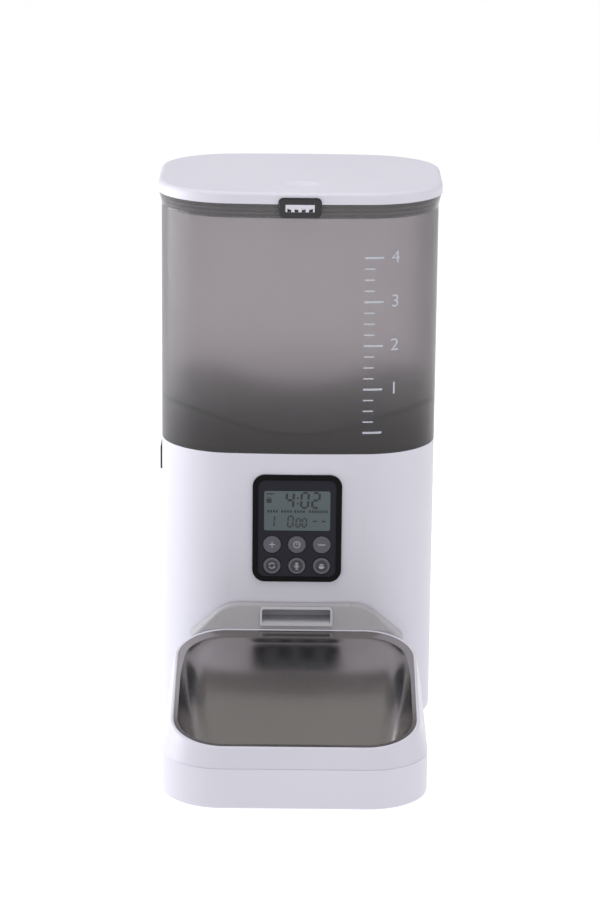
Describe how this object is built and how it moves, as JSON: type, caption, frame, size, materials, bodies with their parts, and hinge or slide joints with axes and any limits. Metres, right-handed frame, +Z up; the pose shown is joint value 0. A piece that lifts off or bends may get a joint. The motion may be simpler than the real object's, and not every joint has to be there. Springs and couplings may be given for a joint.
{
  "type": "automatic pet feeder",
  "caption": "Automatic pet feeder: a smoked tank with a hinged lid on a white housing with a control panel, a motor-driven portion wheel, a chute and a tilted steel bowl in a removable tray.",
  "frame": {"origin": "on the floor, under the middle of the whole feeder's box", "axes": "+X to the feeder's right as seen from the front, the panel and bowl face -Y, +Z up"},
  "size_m": [0.195, 0.3234, 0.38],
  "materials": {
    "white_plastic": "satin",
    "smoked_plastic": "gloss",
    "smoked_plastic_hub": "matte",
    "dark_plastic": "matte",
    "seal_rubber": "matte",
    "panel_face": "gloss",
    "display_glass": "gloss",
    "display_back": "matte",
    "key_plastic": "satin",
    "grey_plastic": "satin",
    "bowl_steel": "brushed",
    "foot_rubber": "matte",
    "hardware_steel": "plated",
    "gear_plastic": "satin",
    "motor_can": "plated",
    "board": "satin",
    "cell_can": "satin",
    "contact_metal": "plated"
  },
  "bodies": {
    "base": {"housing": "white_plastic", "base_cover": "white_plastic", "battery_box": "white_plastic", "battery_door": "white_plastic", "chute": "white_plastic", "rotor_pan": "white_plastic", "outlet_shield": "white_plastic", "panel_bezel": "dark_plastic", "panel_overlay": "panel_face", "lcd_window": "display_glass", "lcd_module": "display_back", "outlet_hood": "grey_plastic", "rubber_feet": "foot_rubber", "cover_screws": "hardware_steel", "door_screw": "hardware_steel", "pan_screws": "hardware_steel", "motor_screws": "hardware_steel", "gearbox_screws": "hardware_steel", "board_screws": "hardware_steel", "idler_axle": "hardware_steel", "lock_spring": "hardware_steel", "shaft_bush": "gear_plastic", "gearbox_case": "dark_plastic", "gearbox_cover": "dark_plastic", "tact_switches": "dark_plastic", "speaker": "dark_plastic", "dc_jack": "dark_plastic", "microphone": "dark_plastic", "motor": "motor_can", "main_board": "board", "battery_cells": "cell_can", "battery_contacts": "contact_metal"},
    "tank": {"tank": "smoked_plastic", "latch_frame": "dark_plastic", "latch_spring": "hardware_steel", "hinge_pin": "hardware_steel"},
    "lid": {"lid": "white_plastic", "lid_seal": "seal_rubber"},
    "latch": {"latch_button": "white_plastic"},
    "lock": {"tank_lock": "dark_plastic"},
    "tray": {"tray_base": "white_plastic", "bowl_holder": "white_plastic", "tray_feet": "foot_rubber"},
    "dish": {"bowl": "bowl_steel"},
    "portion_wheel": {"rotor": "smoked_plastic_hub", "output_shaft": "gear_plastic", "output_gear": "gear_plastic"},
    "idler": {"idler_gear": "gear_plastic"},
    "motor_rotor": {"motor_pinion": "gear_plastic", "motor_shaft": "hardware_steel"},
    "key_plus": {"button_plus": "key_plastic"},
    "key_set": {"button_set": "key_plastic"},
    "key_minus": {"button_minus": "key_plastic"},
    "key_mode": {"button_mode": "key_plastic"},
    "key_record": {"button_record": "key_plastic"},
    "key_feed": {"button_feed": "key_plastic"}
  },
  "joints": [
    {"name": "tank_lift", "type": "slide", "parent": "base", "child": "tank", "axis": [0, 0, 1], "range_m": [0, 0.2]},
    {"name": "lid_hinge", "type": "hinge", "parent": "tank", "child": "lid", "pos_m": [0, 0.15765, 0.3689], "axis": [-1, 0, 0], "range_deg": [0, 100]},
    {"name": "latch_press", "type": "slide", "parent": "tank", "child": "latch", "axis": [0, 1, 0], "range_m": [0, 0.001], "stiffness_N_per_m": 600, "deforming": ["latch_spring"]},
    {"name": "lock_press", "type": "slide", "parent": "base", "child": "lock", "axis": [1, 0, 0], "range_m": [0, 0.0016], "stiffness_N_per_m": 500, "deforming": ["lock_spring"]},
    {"name": "tray_pull", "type": "slide", "parent": "base", "child": "tray", "axis": [0, -1, 0], "range_m": [0, 0.15]},
    {"name": "bowl_lift", "type": "slide", "parent": "tray", "child": "dish", "axis": [0, 0, 1], "range_m": [0, 0.1]},
    {"name": "portion_wheel_turn", "type": "hinge", "parent": "base", "child": "portion_wheel", "pos_m": [0, 0.07365, 0.15], "axis": [0, 0, 1], "continuous": true},
    {"name": "idler_turn", "type": "hinge", "parent": "base", "child": "idler", "pos_m": [0.01543, 0.09204, 0.136], "axis": [0, 0, 1], "continuous": true},
    {"name": "motor_turn", "type": "hinge", "parent": "base", "child": "motor_rotor", "pos_m": [0.03934, 0.09413, 0.13], "axis": [0, 0, 1], "continuous": true},
    {"name": "plus_press", "type": "slide", "parent": "base", "child": "key_plus", "axis": [0, 1, 0], "range_m": [0, 0.0008], "stiffness_N_per_m": 400},
    {"name": "set_press", "type": "slide", "parent": "base", "child": "key_set", "axis": [0, 1, 0], "range_m": [0, 0.0008], "stiffness_N_per_m": 400},
    {"name": "minus_press", "type": "slide", "parent": "base", "child": "key_minus", "axis": [0, 1, 0], "range_m": [0, 0.0008], "stiffness_N_per_m": 400},
    {"name": "mode_press", "type": "slide", "parent": "base", "child": "key_mode", "axis": [0, 1, 0], "range_m": [0, 0.0008], "stiffness_N_per_m": 400},
    {"name": "record_press", "type": "slide", "parent": "base", "child": "key_record", "axis": [0, 1, 0], "range_m": [0, 0.0008], "stiffness_N_per_m": 400},
    {"name": "feed_press", "type": "slide", "parent": "base", "child": "key_feed", "axis": [0, 1, 0], "range_m": [0, 0.0008], "stiffness_N_per_m": 400}
  ],
  "couplings": [
    {"joint": "idler_turn", "follows": "portion_wheel_turn", "ratio": -3},
    {"joint": "motor_turn", "follows": "portion_wheel_turn", "ratio": 9}
  ]
}
